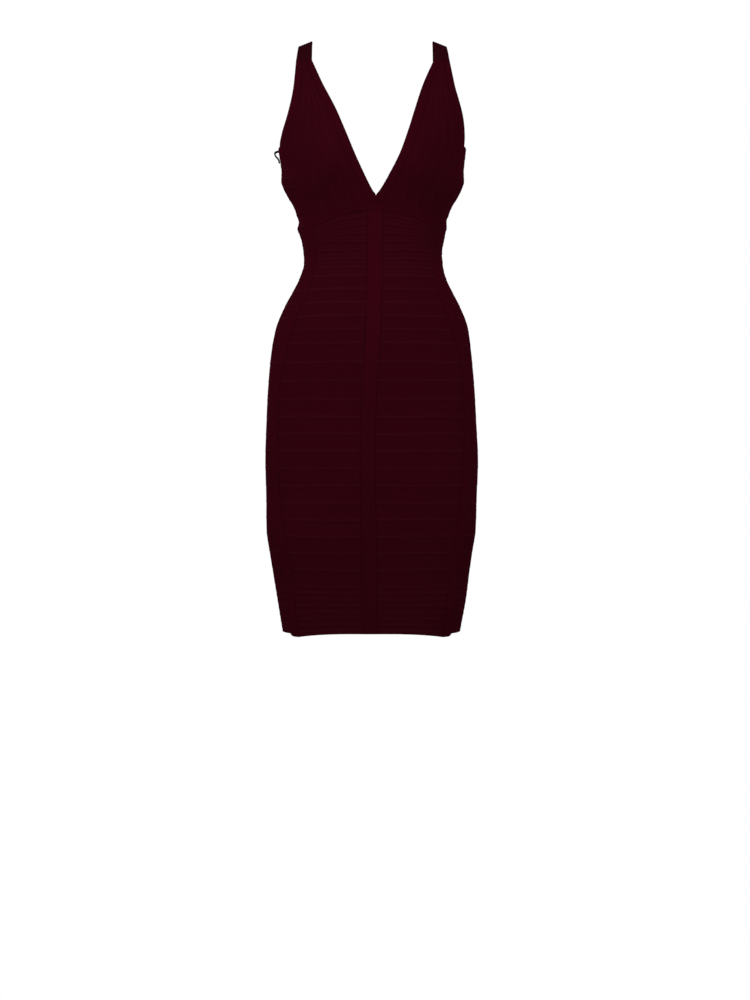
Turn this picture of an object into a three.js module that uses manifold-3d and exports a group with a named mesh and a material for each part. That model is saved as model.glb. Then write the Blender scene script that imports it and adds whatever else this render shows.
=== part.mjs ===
// Sleeveless bodycon dress of narrow knitted bands, hollow and open, in the shape it takes when worn.
// Millimetres, +Z up. The origin is midway between the two straps, at the height of the shoulders.
// The front faces -Y, and left and right are the wearer's, so left is +X.
import * as THREE from 'three';
import { mergeVertices } from 'three/addons/utils/BufferGeometryUtils.js';
import Module from 'manifold-3d';

const wasm = await Module();
wasm.setup();

// Cloth
const wallDepth = 2; // a band of thick knit, with the edge of the next one behind it
const seamGap = 0.3; // between two pieces at a seam
const bandRise = 0.8; // how far the lower edge of a band stands over the next band
const lipHeight = 1.2; // the height over which that edge falls back

// Body of the dress by level: half of its width, how far its front and back stand from the middle
// plane, all to the outer face of the cloth, and how far the body sways to one side.
const form = [
  { level: -20, half: 170, front: 36, back: 36, sway: 0 },
  { level: -36, half: 168, front: 47, back: 50, sway: 0 },
  { level: -60, half: 166, front: 60, back: 66, sway: 0 },
  { level: -100, half: 158, front: 77, back: 83, sway: 0.2 },
  { level: -135, half: 150, front: 88, back: 91, sway: 0.5 },
  { level: -168, half: 145.4, front: 94, back: 94, sway: 0.3 },
  { level: -202, half: 141, front: 96, back: 92, sway: 0.9 },
  { level: -220, half: 141, front: 95, back: 90, sway: 1 },
  { level: -239, half: 132.8, front: 92, back: 87, sway: 1.3 },
  { level: -257, half: 122.2, front: 89, back: 83, sway: 1.2 },
  { level: -276, half: 116, front: 86, back: 80, sway: 0.8 },
  { level: -294, half: 113.3, front: 84, back: 77, sway: 0.6 },
  { level: -313, half: 110.1, front: 82, back: 74, sway: 1 },
  { level: -332, half: 106.7, front: 81, back: 72, sway: 1.6 },
  { level: -350, half: 108.4, front: 82, back: 73, sway: 1.6 },
  { level: -369, half: 114, front: 85, back: 77, sway: 1.2 },
  { level: -388, half: 123.3, front: 89, back: 83, sway: 0.9 },
  { level: -406, half: 133, front: 93, back: 90, sway: 0.6 },
  { level: -425, half: 141.7, front: 97, back: 97, sway: 0.4 },
  { level: -443, half: 148.2, front: 99, back: 103, sway: 0 },
  { level: -480, half: 154.4, front: 102, back: 111, sway: -1.1 },
  { level: -536, half: 159.6, front: 103, back: 117, sway: -1.2 },
  { level: -592, half: 162.5, front: 103, back: 116, sway: -1 },
  { level: -648, half: 164.6, front: 103, back: 112, sway: -0.5 },
  { level: -704, half: 162.9, front: 101, back: 107, sway: -0.8 },
  { level: -760, half: 161.5, front: 99, back: 102, sway: -1.3 },
  { level: -787, half: 157.3, front: 97, back: 99, sway: -1.5 },
  { level: -825, half: 151.4, front: 95, back: 96, sway: -1.2 },
  { level: -862, half: 146, front: 93, back: 93, sway: -0.5 },
  { level: -899, half: 139.6, front: 90, back: 89, sway: -0.9 },
  { level: -930, half: 134, front: 88, back: 86, sway: -1.2 },
];
const fullness = 2.3; // 2 would make each ring an ellipse, and more makes it squarer

// Cups: the front is fuller round two points
const cup = { apart: 72, level: -190, depth: 28, spread: 44, height: 54 };

// Neckline: half of the opening and the width of its band, measured across
const neckline = [
  { level: -36, half: 93.2, band: 8.5 },
  { level: -74, half: 77, band: 12 },
  { level: -114, half: 60.7, band: 13.5 },
  { level: -153, half: 46.8, band: 14 },
  { level: -189, half: 33, band: 14 },
  { level: -225, half: 15, band: 14.5 },
  { level: -242, half: 5.2, band: 14.5 },
  { level: -249.1, half: 0, band: 14.5 },
  { level: -290, half: 0, band: 14.5 },
];

// The middle of the front, which wanders a little to one side and then the other
const centreLine = [
  { level: -36, lean: 1.3 },
  { level: -76, lean: 1.6 },
  { level: -114, lean: 5 },
  { level: -152, lean: 7.2 },
  { level: -190, lean: 8.2 },
  { level: -228, lean: 7 },
  { level: -250, lean: 6 },
  { level: -310, lean: 4.5 },
  { level: -360, lean: 3.7 },
  { level: -470, lean: 0.8 },
  { level: -563, lean: -5 },
  { level: -677, lean: -6 },
  { level: -782, lean: -4.5 },
  { level: -920, lean: -2.5 },
];

// Contour bands: they follow the armholes, then run down the side front to the hem. As worn, both
// lean a little to one side.
const contour = [
  { level: -36, centre: 113.1, lean: 1.3, band: 9 },
  { level: -60, centre: 115.2, lean: 2.7, band: 11 },
  { level: -80, centre: 118, lean: 3.8, band: 12 },
  { level: -100, centre: 122.7, lean: 5.1, band: 13 },
  { level: -125, centre: 129.8, lean: 5.2, band: 14 },
  { level: -150, centre: 136.7, lean: 2.2, band: 14 },
  { level: -168, centre: 138.1, lean: -0.2, band: 15 },
  { level: -190, centre: 131.5, lean: 2, band: 16 },
  { level: -228, centre: 118, lean: 5, band: 17 },
  { level: -249, centre: 111.5, lean: 4.8, band: 17 },
  { level: -280, centre: 104, lean: 5, band: 18 },
  { level: -310, centre: 98, lean: 4.8, band: 18 },
  { level: -333, centre: 95.3, lean: 4, band: 18 },
  { level: -357, centre: 96.5, lean: 2.9, band: 18 },
  { level: -380, centre: 101.5, lean: 1.8, band: 18 },
  { level: -403, centre: 109.5, lean: 0.8, band: 18 },
  { level: -434, centre: 122, lean: 0, band: 18 },
  { level: -472, centre: 134, lean: 0.6, band: 18 },
  { level: -510, centre: 142, lean: 0, band: 18 },
  { level: -556, centre: 146.5, lean: -1.2, band: 18 },
  { level: -609, centre: 147.4, lean: -1.6, band: 18 },
  { level: -663, centre: 146, lean: -2.2, band: 18 },
  { level: -728, centre: 141, lean: -2.6, band: 18 },
  { level: -772, centre: 135.5, lean: -2, band: 18 },
  { level: -825, centre: 126.5, lean: -0.8, band: 18 },
  { level: -877, centre: 119.5, lean: -2, band: 18 },
  { level: -930, centre: 114.5, lean: -1.5, band: 18 },
];

// Horizontal bands from the underarm to the hem
const underarmLevel = -166;
const bandGroups = [
  { count: 8, height: 12.975 },
  { count: 1, height: 8.2 },
  { count: 7, height: 13 },
  { count: 5, height: 20.5 },
  { count: 3, height: 28.3 },
  { count: 6, height: 26 },
  { count: 5, height: 25.2 },
  { count: 7, height: 9.75 },
  { count: 1, height: 5.55 },
];
const bodiceBands = bandGroups[0].count; // those that are only on the sides and the back
const cupLevels = [-50, -66, -84, -104, -125, -146]; // rows of points above the underarm

// Underbust band: it falls away from the middle towards each side
const underbust = { top: -257.5, bottom: -269.5, fall: 31, reach: 108, power: 1.8 };
const fallFades = 48; // below the seam the bands are level again after this much

// Hem: the middle of the front rides up, and the contour bands hang down with the edges beside them
const hem = { lift: 3, hang: 4.2, power: 3, fades: 110 };

// Centre front band
const centreHalf = 11.5;

// Straps
const strapJoint = -36; // where they meet the cups
const strapOuter = 117.6;
const strapOuterTop = 114.5;
const strapApart = 2.5; // how far they move apart behind the shoulder
const strapIn = 14.5; // how far they come together below that
const strapFoot = -174.55; // where they end, just above the back panels
const shoulderSlope = 0.4;

// Back
const sideBackAngle = THREE.MathUtils.degToRad(115);
const backDip = 57; // of the top edge at the centre back, below that edge at the straps
const backTop = -175;
const topFades = 150; // below the top edge the bands are level again after this much
// Share of the way round, from the middle of the front, over which the top edge falls behind the
// arm, and over which it dips towards the centre back
const fallBehindArm = { from: 0.42, to: 0.6 };
const dipAtBack = { from: 0.75, to: 1 };

// Zip at the centre back
const zip = { half: 7, chain: 2.4, slope: 0.1, recess: 0.6, proud: 0.9, depth: 1.8, lastBand: 24 };
const slider = { level: -243, half: 4.6, lowerHalf: 2.85, height: 12, plate: 1.5, clear: 1.6 };
const lug = { axisOut: 2.9, inner: 1.7, width: 1.1, radius: 1.7 };
const pin = { radius: 0.7, hole: 1.1, eye: 2.3, half: 1.35 };
const tab = { start: 3.2, topHalf: 1.75, length: 26, half: 2.9, thick: 1.2, hole: 1.5, holeUp: 3.3 };

// Hanger loop: it comes up inside the right armhole, over its edge, and down outside. Its two
// strands stand apart on each side of a middle, a share of the way round to the back, and each
// turns over the edge in an arch.
const loop = { radius: 1.1, sides: 8, steps: 48, apart: 4.6, turn: 0.53 };
const loopArch = { reach: 7.1, rise: 4.2, out: 0.7, down: -0.4, knots: 5 };

// How many steps of points cross each piece, and run along a strap and the zip
const steps = {
  front: 6, centre: 4, neckline: 1, underbust: 32, contour: 4, side: 4, back: 6, strap: 2,
  strapArch: 12, strapBack: 7, zip: 20,
};

// Small steps over which slopes are measured on the form
const probe = { angle: 0.01, level: 0.5 };

// Value of one column of a table at any level, on a smooth curve through its rows
function valueAt(table, level, column) {
  const last = table.length - 1;
  const found = table.findIndex((row) => row.level <= level);
  const low = THREE.MathUtils.clamp(found, 1, last);
  const below = found < 0 ? last : low;
  const above = below - 1;
  const slope = (row) => {
    const next = table[Math.min(row + 1, last)];
    const previous = table[Math.max(row - 1, 0)];
    return (next[column] - previous[column]) / (next.level - previous.level);
  };
  const run = table[below].level - table[above].level;
  const t = THREE.MathUtils.clamp((level - table[above].level) / run, 0, 1);
  const rise = t * t * (3 - 2 * t);
  return table[above][column] * (1 - rise) + table[below][column] * rise
    + slope(above) * run * t * (1 - t) * (1 - t) - slope(below) * run * t * t * (1 - t);
}

// Place on the form, by the angle from the middle of the front, and by level
function formPoint(angle, level) {
  const sine = Math.abs(Math.sin(angle));
  const cosine = Math.cos(angle);
  const depth = valueAt(form, level, cosine > 0 ? 'front' : 'back');
  const half = valueAt(form, level, 'half');
  const reach = (sine / half) ** fullness + (Math.abs(cosine) / depth) ** fullness;
  const radius = reach ** (-1 / fullness);
  const x = radius * Math.sin(angle) + valueAt(form, level, 'sway');
  return new THREE.Vector3(x, -radius * cosine - cupFullness(x, cosine, level), level);
}

function cupFullness(x, cosine, level) {
  const across = (middle) => Math.exp(-(((x - middle) / cup.spread) ** 2));
  const upright = Math.exp(-(((level - cup.level) / cup.height) ** 2));
  return cup.depth * Math.max(0, cosine) * upright * (across(-cup.apart) + across(cup.apart));
}

// Angle of the place on the front, or on the back, that lies at x
function angleAt(x, level, face = 'front') {
  const half = valueAt(form, level, 'half');
  const depth = valueAt(form, level, face);
  const aside = x - valueAt(form, level, 'sway');
  const y = depth * (1 - (Math.abs(aside) / half) ** fullness) ** (1 / fullness);
  return face === 'front' ? Math.atan2(aside, y) : Math.atan2(aside, -y);
}

// The angle that lies a distance along the cloth from another angle
function stepAlong(angle, level, distance) {
  const ahead = formPoint(angle + probe.angle, level);
  const behind = formPoint(angle - probe.angle, level);
  return angle + (distance * 2 * probe.angle) / ahead.distanceTo(behind);
}

function normalOf(place, u, v, stepU, stepV) {
  const along = place(u + stepU, v).sub(place(u - stepU, v));
  const up = place(u, v + stepV).sub(place(u, v - stepV));
  return along.cross(up).normalize();
}

function spot(angle, level, rise = 0) {
  const out = normalOf(formPoint, angle, level, probe.angle, probe.level);
  return { at: formPoint(angle, level), out, rise };
}

// A wall of cloth. Its outer face has every row and column of spots, each raised by its own rise,
// and its plain inner face has only the rows and columns that are marked as inner.
function clothWall(rows, innerColumns, depth = wallDepth) {
  const positions = [];
  const index = [];
  const add = (at, out, distance) => {
    positions.push(at.x + out.x * distance, at.y + out.y * distance, at.z + out.z * distance);
    return positions.length / 3 - 1;
  };
  const outer = rows.map((row) => row.spots.map((s) => add(s.at, s.out, s.rise)));
  const inner = rows.map((row) => row.spots.map((s, column) => {
    return row.inner && innerColumns[column] ? add(s.at, s.out, -depth) : null;
  }));
  const face = (grid, flip) => {
    for (let i = 0; i + 1 < grid.length; i += 1) {
      for (let j = 0; j + 1 < grid[i].length; j += 1) {
        const [a, b, c, d] = [grid[i][j], grid[i + 1][j], grid[i + 1][j + 1], grid[i][j + 1]];
        index.push(...(flip ? [a, d, b, b, d, c] : [a, b, d, b, c, d]));
      }
    }
  };
  const rim = (outerLine, innerLine) => {
    let held = innerLine[0];
    for (let k = 1; k < outerLine.length; k += 1) {
      index.push(outerLine[k], outerLine[k - 1], held);
      if (innerLine[k] !== null) {
        index.push(outerLine[k], held, innerLine[k]);
        held = innerLine[k];
      }
    }
  };
  const column = (grid, j) => grid.map((row) => row.at(j));
  face(outer, false);
  face(inner.filter((row) => row[0] !== null).map((row) => row.filter((v) => v !== null)), true);
  rim(column(outer, 0), column(inner, 0));
  rim(outer.at(-1), inner.at(-1));
  rim(column(outer, -1).reverse(), column(inner, -1).reverse());
  rim([...outer[0]].reverse(), [...inner[0]].reverse());
  const geometry = new THREE.BufferGeometry();
  geometry.setAttribute('position', new THREE.Float32BufferAttribute(positions, 3));
  geometry.setIndex(facesOut(rows, positions, index) ? index : turned(index));
  geometry.computeVertexNormals();
  return geometry;
}

// Whether the first face of a wall looks the way its cloth does
function facesOut(rows, positions, index) {
  const [a, b, c] = index.slice(0, 3).map((k) => new THREE.Vector3().fromArray(positions, 3 * k));
  return b.sub(a).cross(c.sub(a)).dot(rows[0].spots[0].out) > 0;
}

function turned(index) {
  return index.map((vertex, k) => index[k % 3 === 1 ? k + 1 : k % 3 === 2 ? k - 1 : k]);
}

const spread = (count) => Array.from({ length: count + 1 }, (_, k) => k / count);
const allInner = (columns) => columns.map(() => true);

// Levels of the edges between bands
function bandEdges() {
  const edges = [underarmLevel];
  for (const group of bandGroups) {
    for (let k = 0; k < group.count; k += 1) edges.push(edges.at(-1) - group.height);
  }
  return edges;
}

const edges = bandEdges();
const hemLevel = edges.at(-1);
const frontEdges = edges.slice(bodiceBands);
const zipEnd = edges[zip.lastBand];

// Rows of a banded panel: each band starts flush and stands proud at its lower edge.
// The edge at squareAt has its lip on the inner face too.
function bandRows(levels, squareAt) {
  const rows = [{ level: levels[0], rise: 0, inner: true }];
  for (const edge of levels.slice(1, -1)) {
    rows.push({ level: edge + lipHeight, rise: bandRise, inner: edge === squareAt });
    rows.push({ level: edge, rise: 0, inner: true });
  }
  rows.push({ level: levels.at(-1), rise: bandRise, inner: true });
  return rows;
}

const lean = (level) => valueAt(centreLine, level, 'lean');
const fade = (distance, length) => THREE.MathUtils.clamp(1 - distance / length, 0, 1);

// Angle of the contour band's middle, or of a place that lies beside it along the cloth
function contourAngle(side, level, beside = 0) {
  const x = side * valueAt(contour, level, 'centre') + valueAt(contour, level, 'lean');
  const angle = angleAt(x, level);
  return stepAlong(angle, level, side * beside);
}

const contourInner = (side, level) => {
  return contourAngle(side, level, -valueAt(contour, level, 'band') / 2 - seamGap);
};
const contourOuter = (side, level) => {
  return contourAngle(side, level, valueAt(contour, level, 'band') / 2 + seamGap);
};

// How far the underbust seam has fallen at x
function underbustFall(x, level) {
  return underbust.fall * (Math.abs(x - lean(level)) / underbust.reach) ** underbust.power;
}

// The level on a line that follows the underbust seam, at the angle that angleOf gives there
function seamLevel(start, angleOf, share = 1) {
  let level = start;
  for (let round = 0; round < 6; round += 1) {
    level = start - share * underbustFall(formPoint(angleOf(level), level).x, level);
  }
  return level;
}

// Front panel, between the centre front band and a contour band
function frontPanel(side) {
  const columns = spread(steps.front);
  const angleOf = (share) => (level) => THREE.MathUtils.lerp(
    angleAt(lean(level) + side * (centreHalf + seamGap), level),
    contourInner(side, level),
    share,
  );
  const rows = bandRows(frontEdges).map((row) => {
    const fallShare = fade(frontEdges[0] - row.level, fallFades);
    const spots = columns.map((share) => {
      const level = seamLevel(row.level, angleOf(share), fallShare) + hemShift(row.level, share);
      return spot(angleOf(share)(level), level, row.rise);
    });
    return { inner: row.inner, spots };
  });
  return clothWall(rows, allInner(columns));
}

// How far the hem of the front rides up or hangs down, fading above it
function hemShift(level, share) {
  const near = fade(level - hemLevel, hem.fades);
  return near * near * (hem.lift - (hem.lift + hem.hang) * share ** hem.power);
}

function centreFrontBand() {
  const columns = spread(steps.centre);
  const angleOf = (share) => (level) => angleAt(lean(level) + centreHalf * (2 * share - 1), level);
  const rowAt = (levelOf) => ({
    inner: true,
    spots: columns.map((share) => spot(angleOf(share)(levelOf(share)), levelOf(share), bandRise)),
  });
  const top = rowAt((share) => seamLevel(frontEdges[0], angleOf(share)));
  const rest = frontEdges.slice(1).map((edge) => rowAt(() => edge + hemShift(edge, 0)));
  return clothWall([top, ...rest], allInner(columns));
}

// Rows of points of the cups and the neckline bands, down to the point of the neckline
const neckPoint = neckline.find((row) => row.half === 0).level;
const aboveUnderarm = [strapJoint - seamGap, ...cupLevels];
const bodiceLevels = [...aboveUnderarm, ...edges.filter((edge) => edge > neckPoint), neckPoint];

// Across the neckline band: 0 is the edge of the neckline and 1 is the seam with the cup
function necklineX(side, level, share) {
  const half = Math.max(valueAt(neckline, level, 'half'), seamGap / 2);
  return lean(level) + side * (half + share * valueAt(neckline, level, 'band'));
}

// Neckline band, from the strap to the underbust band, meeting the other one below the neckline
function necklineBand(side) {
  const columns = spread(steps.neckline);
  const angleOf = (share) => (level) => angleAt(necklineX(side, level, share), level);
  const rowAt = (levelOf) => ({
    inner: true,
    spots: columns.map((share) => {
      const level = levelOf(share);
      return spot(angleOf(share)(level), level, bandRise);
    }),
  });
  const last = rowAt((share) => seamLevel(underbust.top + seamGap, angleOf(share)));
  return clothWall([...bodiceLevels.map((level) => rowAt(() => level)), last], allInner(columns));
}

// Cup of bands that fan out from the strap to the underbust band
function cupPanel(side) {
  const bands = 5;
  const lip = 0.03;
  const columns = [];
  for (let band = 0; band < bands; band += 1) {
    columns.push({ share: band / bands, rise: 0, inner: true });
    columns.push({ share: (band + 1) / bands - lip, rise: bandRise, inner: false });
  }
  columns.push({ share: 1, rise: 0, inner: true });
  const angleOf = (share) => (level) => {
    const start = angleAt(necklineX(side, level, 1) + side * seamGap, level);
    return THREE.MathUtils.lerp(start, contourInner(side, level), share);
  };
  const rowAt = (levelOf) => ({
    inner: true,
    spots: columns.map(({ share, rise }) => {
      const level = levelOf(share);
      return spot(angleOf(share)(level), level, rise);
    }),
  });
  const seam = (share) => seamLevel(underbust.top + seamGap, angleOf(share));
  const low = bodiceLevels.at(-1);
  const rows = bodiceLevels.map((level) => rowAt(() => level));
  rows.push(rowAt((share) => (low + seam(share)) / 2), rowAt(seam));
  return clothWall(rows, columns.map((column) => column.inner));
}

function underbustBand() {
  const columns = spread(steps.underbust);
  const angleOf = (share) => (level) => THREE.MathUtils.lerp(
    contourInner(-1, level),
    contourInner(1, level),
    share,
  );
  const rows = [underbust.top, underbust.bottom].map((start) => ({
    inner: true,
    spots: columns.map((share) => {
      const level = seamLevel(start, angleOf(share));
      return spot(angleOf(share)(level), level, bandRise);
    }),
  }));
  return clothWall(rows, allInner(columns));
}

// Contour band: at the hem its outer corner is rounded
function contourBand(side) {
  const columns = spread(steps.contour);
  const rows = [...aboveUnderarm, ...edges].map((level) => ({
    inner: true,
    spots: columns.map((share) => {
      const beside = valueAt(contour, level, 'band') * (share - 0.5);
      const rounded = Math.sqrt(1 - Math.max(0, 2 * share - 1) ** 2);
      const hung = level + rounded * hemShift(level, 1);
      return spot(contourAngle(side, hung, beside), hung, bandRise);
    }),
  }));
  return clothWall(rows, allInner(columns));
}

// Level of the top edge of the side and back panels
function topEdge(angle) {
  const turn = Math.abs(angle) / Math.PI;
  const fallen = THREE.MathUtils.smoothstep(turn, fallBehindArm.from, fallBehindArm.to);
  const dipped = THREE.MathUtils.smoothstep(turn, dipAtBack.from, dipAtBack.to);
  return underarmLevel + (backTop - underarmLevel) * fallen - backDip * dipped;
}

// Rows and columns of a banded panel whose top edge is the armhole or the top of the back
function wrappedPanel(columns, angleOf, squareAt) {
  const rows = bandRows(edges, squareAt).map((row) => {
    const spots = columns.map((share) => {
      const shift = topEdge(angleOf(share, row.level)) - underarmLevel;
      const level = row.level + shift * fade(underarmLevel - row.level, topFades);
      return spot(angleOf(share, level), level, row.rise);
    });
    return { inner: row.inner, spots };
  });
  return clothWall(rows, allInner(columns));
}

function sidePanel(side) {
  return wrappedPanel(spread(steps.side), (share, level) => THREE.MathUtils.lerp(
    contourOuter(side, level),
    side * sideBackAngle,
    share,
  ));
}

// Back panel: its angles grow from the side seam to the middle of the back, and past a half turn
// where the body sways away from it
function backPanel(side) {
  return wrappedPanel(spread(steps.back), (share, level) => {
    const start = stepAlong(side * sideBackAngle, level, side * seamGap);
    const opening = level > zipEnd + lipHeight / 2 ? zip.half + seamGap : seamGap / 2;
    const middle = side * angleAt(side * opening, level, 'back');
    const end = side * THREE.MathUtils.euclideanModulo(middle, 2 * Math.PI);
    return THREE.MathUtils.lerp(start, end, share);
  }, zipEnd);
}

// Place on a strap: across runs from its neck edge to its outer edge. Along it, -1 is the seam
// with the cup, 0 the top of the shoulder, 1 the same height on the back, and 2 the back panel.
function strapPoint(side) {
  return (along, across) => {
    const arch = THREE.MathUtils.clamp(along, -1, 1);
    const down = Math.max(0, along - 1);
    const shift = strapApart * Math.max(0, arch) - strapIn * down;
    const inner = valueAt(neckline, strapJoint, 'half') + shift;
    const outer = THREE.MathUtils.lerp(strapOuterTop, strapOuter, arch ** 2) + shift;
    const x = THREE.MathUtils.lerp(inner, outer, across);
    const level = strapJoint + (strapFoot - strapJoint) * down;
    const angle = angleAt(side * x, level, along < 0 ? 'front' : 'back');
    const y = formPoint(angle, level).y;
    const drop = strapJoint * arch ** 2 - shoulderSlope * (x - inner) * (1 - arch ** 2);
    return new THREE.Vector3(
      side * x + lean(strapJoint) * fade(along + 1, 2),
      y * Math.abs(arch),
      down > 0 ? level : drop,
    );
  };
}

function strap(side) {
  const place = strapPoint(side);
  const columns = spread(steps.strap);
  const archStops = spread(steps.strapArch).map((share) => 2 * share - 1);
  const backStops = spread(steps.strapBack).slice(1).map((share) => 1 + share);
  const stops = [...archStops, ...backStops];
  const alongStep = 0.02;
  const acrossStep = 0.1;
  const rows = stops.map((along) => ({
    inner: true,
    spots: columns.map((across) => {
      const out = normalOf(place, along, across, alongStep, acrossStep);
      return { at: place(along, across), out: out.multiplyScalar(side), rise: bandRise };
    }),
  }));
  return clothWall(rows, allInner(columns));
}

// Zip tape with its chain standing along the middle
function zipTape() {
  const columns = [
    { x: -zip.half, rise: -zip.recess },
    { x: -zip.chain - zip.slope, rise: -zip.recess },
    { x: -zip.chain, rise: zip.proud },
    { x: zip.chain, rise: zip.proud },
    { x: zip.chain + zip.slope, rise: -zip.recess },
    { x: zip.half, rise: -zip.recess },
  ];
  const top = backTop - backDip - seamGap;
  const rows = spread(steps.zip).map((share) => {
    const level = THREE.MathUtils.lerp(top, zipEnd + lipHeight + seamGap, share);
    return {
      inner: true,
      spots: columns.map(({ x, rise }) => spot(angleAt(x, level, 'back'), level, rise)),
    };
  });
  const edgesOnly = columns.map((_, k) => k === 0 || k === columns.length - 1);
  return clothWall(rows, edgesOnly, zip.depth);
}

// Place of the pull tab's hinge, behind the slider
function pullAxis() {
  const chain = formPoint(Math.PI, slider.level).y + zip.proud;
  return new THREE.Vector3(0, chain + slider.clear + slider.plate + lug.axisOut, slider.level);
}

function toSolid(geometry) {
  const bare = geometry.index ? geometry.clone() : geometry;
  bare.deleteAttribute('normal');
  bare.deleteAttribute('uv');
  const merged = mergeVertices(bare);
  return new wasm.Manifold(new wasm.Mesh({
    numProp: 3,
    vertProperties: new Float32Array(merged.attributes.position.array),
    triVerts: new Uint32Array(merged.index.array),
  }));
}

function toGeometry(solid) {
  const mesh = solid.getMesh();
  const geometry = new THREE.BufferGeometry();
  geometry.setAttribute('position', new THREE.BufferAttribute(mesh.vertProperties, 3));
  geometry.setIndex(new THREE.BufferAttribute(mesh.triVerts, 1));
  geometry.computeVertexNormals();
  return geometry;
}

// A block given by its lowest and highest corner
function block(low, high) {
  const size = high.map((value, k) => value - low[k]);
  const middle = high.map((value, k) => (value + low[k]) / 2);
  return toSolid(new THREE.BoxGeometry(...size).translate(...middle));
}

// A round bar along X, or along Y where it is a hole through the tab
function bar(radius, half, direction = 'x') {
  const geometry = new THREE.CylinderGeometry(radius, radius, 2 * half, 16);
  return toSolid(direction === 'x' ? geometry.rotateZ(Math.PI / 2) : geometry);
}

// Slider, about the pull tab's hinge: a plate on the chain, two lugs and the pin between them
function zipSlider() {
  const base = -lug.axisOut;
  const width = lug.inner + lug.width;
  const outline = new THREE.Shape([
    new THREE.Vector2(-slider.half, slider.height / 2),
    new THREE.Vector2(-slider.lowerHalf, -slider.height / 2),
    new THREE.Vector2(slider.lowerHalf, -slider.height / 2),
    new THREE.Vector2(slider.half, slider.height / 2),
  ]);
  const plate = new THREE.ExtrudeGeometry(outline, { depth: slider.plate, bevelEnabled: false });
  let solid = toSolid(plate.rotateX(Math.PI / 2).translate(0, base, 0));
  for (const side of [-1, 1]) {
    const ends = [side * lug.inner, side * width].sort((a, b) => a - b);
    const cheek = bar(lug.radius, lug.width / 2).translate([side * (lug.inner + width) / 2, 0, 0]);
    solid = solid.add(cheek);
    solid = solid.add(block([ends[0], base - slider.plate / 2, -lug.radius], [ends[1], 0, lug.radius]));
  }
  return toGeometry(solid.add(bar(pin.radius, width)));
}

// Pull tab, about its hinge: an eye round the pin and a flat tab that hangs from it
function zipPull() {
  const neck = block([-pin.half, -tab.thick / 2, -tab.start - 1], [pin.half, tab.thick / 2, -pin.hole]);
  const outline = new THREE.Shape();
  const top = -tab.start;
  const bottom = -tab.length;
  outline.moveTo(-tab.topHalf, top);
  outline.lineTo(tab.topHalf, top);
  outline.lineTo(tab.half, top - tab.half);
  outline.lineTo(tab.half, bottom + tab.half);
  outline.absarc(0, bottom + tab.half, tab.half, 0, Math.PI, true);
  outline.lineTo(-tab.half, top - tab.half);
  const plate = new THREE.ExtrudeGeometry(outline, {
    depth: tab.thick, bevelEnabled: false, curveSegments: 8,
  });
  plate.rotateX(Math.PI / 2).translate(0, tab.thick / 2, 0);
  const hole = bar(tab.hole, tab.thick, 'y').translate([0, 0, bottom + tab.holeUp]);
  return toGeometry(bar(pin.eye, pin.half).add(neck).add(toSolid(plate))
    .subtract(bar(pin.hole, 2 * pin.half)).subtract(hole));
}

// Route of the hanger loop: inside the side panel, over the edge of the armhole, out and down,
// round its end, and back the same way
function loopRoute() {
  const arch = spread(loopArch.knots).map((share) => ({
    out: loopArch.out - loopArch.reach * Math.cos(Math.PI * share),
    down: loopArch.down + loopArch.rise * Math.sin(Math.PI * share),
  }));
  const foot = { out: 2.8, down: -9.5 };
  const strand = [
    { out: -5.9, down: -24 },
    { out: -5.9, down: -14 },
    { out: -5.9, down: -6 },
    ...arch,
    { out: 6.6, down: -3.6 },
    { out: 4.6, down: -6.6 },
    foot,
  ];
  const angle = -Math.PI * loop.turn;
  const place = ({ out, down }, shift) => {
    return formPoint(angle, topEdge(angle) + down).add(new THREE.Vector3(-out, shift, 0));
  };
  const round = spread(4).slice(1, -1).map((share) => {
    const below = loop.apart * Math.sin(Math.PI * share);
    return place({ out: foot.out, down: foot.down - below }, -loop.apart * Math.cos(Math.PI * share));
  });
  return new THREE.CatmullRomCurve3([
    ...strand.map((step) => place(step, -loop.apart)),
    ...round,
    ...[...strand].reverse().map((step) => place(step, loop.apart)),
  ], false, 'centripetal');
}

function hangerLoop() {
  const section = new THREE.Shape(spread(loop.sides).slice(1).map((share) => {
    const turn = 2 * Math.PI * share;
    return new THREE.Vector2(loop.radius * Math.cos(turn), loop.radius * Math.sin(turn));
  }));
  return new THREE.ExtrudeGeometry(section, { steps: loop.steps, extrudePath: loopRoute() });
}

const wine = { color: 0x2d0810, roughness: 0.86, metalness: 0 };
const paleWine = { color: 0x360a15, roughness: 0.82, metalness: 0 };
const black = { color: 0x0c0b0d, roughness: 0.6, metalness: 0 };
const zipCloth = { color: 0x22060d, roughness: 0.9, metalness: 0 };
const steel = { color: 0x6b6b70, roughness: 0.35, metalness: 1 };

const dress = new THREE.Group();

function addPiece(name, geometry, finish, place = new THREE.Vector3()) {
  const mesh = new THREE.Mesh(geometry, new THREE.MeshStandardMaterial(finish));
  mesh.name = name;
  mesh.position.copy(place);
  dress.add(mesh);
}

for (const [name, side] of [['right', -1], ['left', 1]]) {
  addPiece(`strap_${name}`, strap(side), wine);
  addPiece(`neckline_band_${name}`, necklineBand(side), paleWine);
  addPiece(`cup_${name}`, cupPanel(side), wine);
  addPiece(`front_panel_${name}`, frontPanel(side), wine);
  addPiece(`contour_band_${name}`, contourBand(side), paleWine);
  addPiece(`side_panel_${name}`, sidePanel(side), wine);
  addPiece(`back_panel_${name}`, backPanel(side), wine);
}
addPiece('underbust_band', underbustBand(), paleWine);
addPiece('centre_front_band', centreFrontBand(), paleWine);
addPiece('zip_tape', zipTape(), zipCloth);
addPiece('zip_slider', zipSlider(), steel, pullAxis());
addPiece('zip_pull', zipPull(), steel, pullAxis());
addPiece('hanger_loop', hangerLoop(), black);

export default dress;
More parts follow.
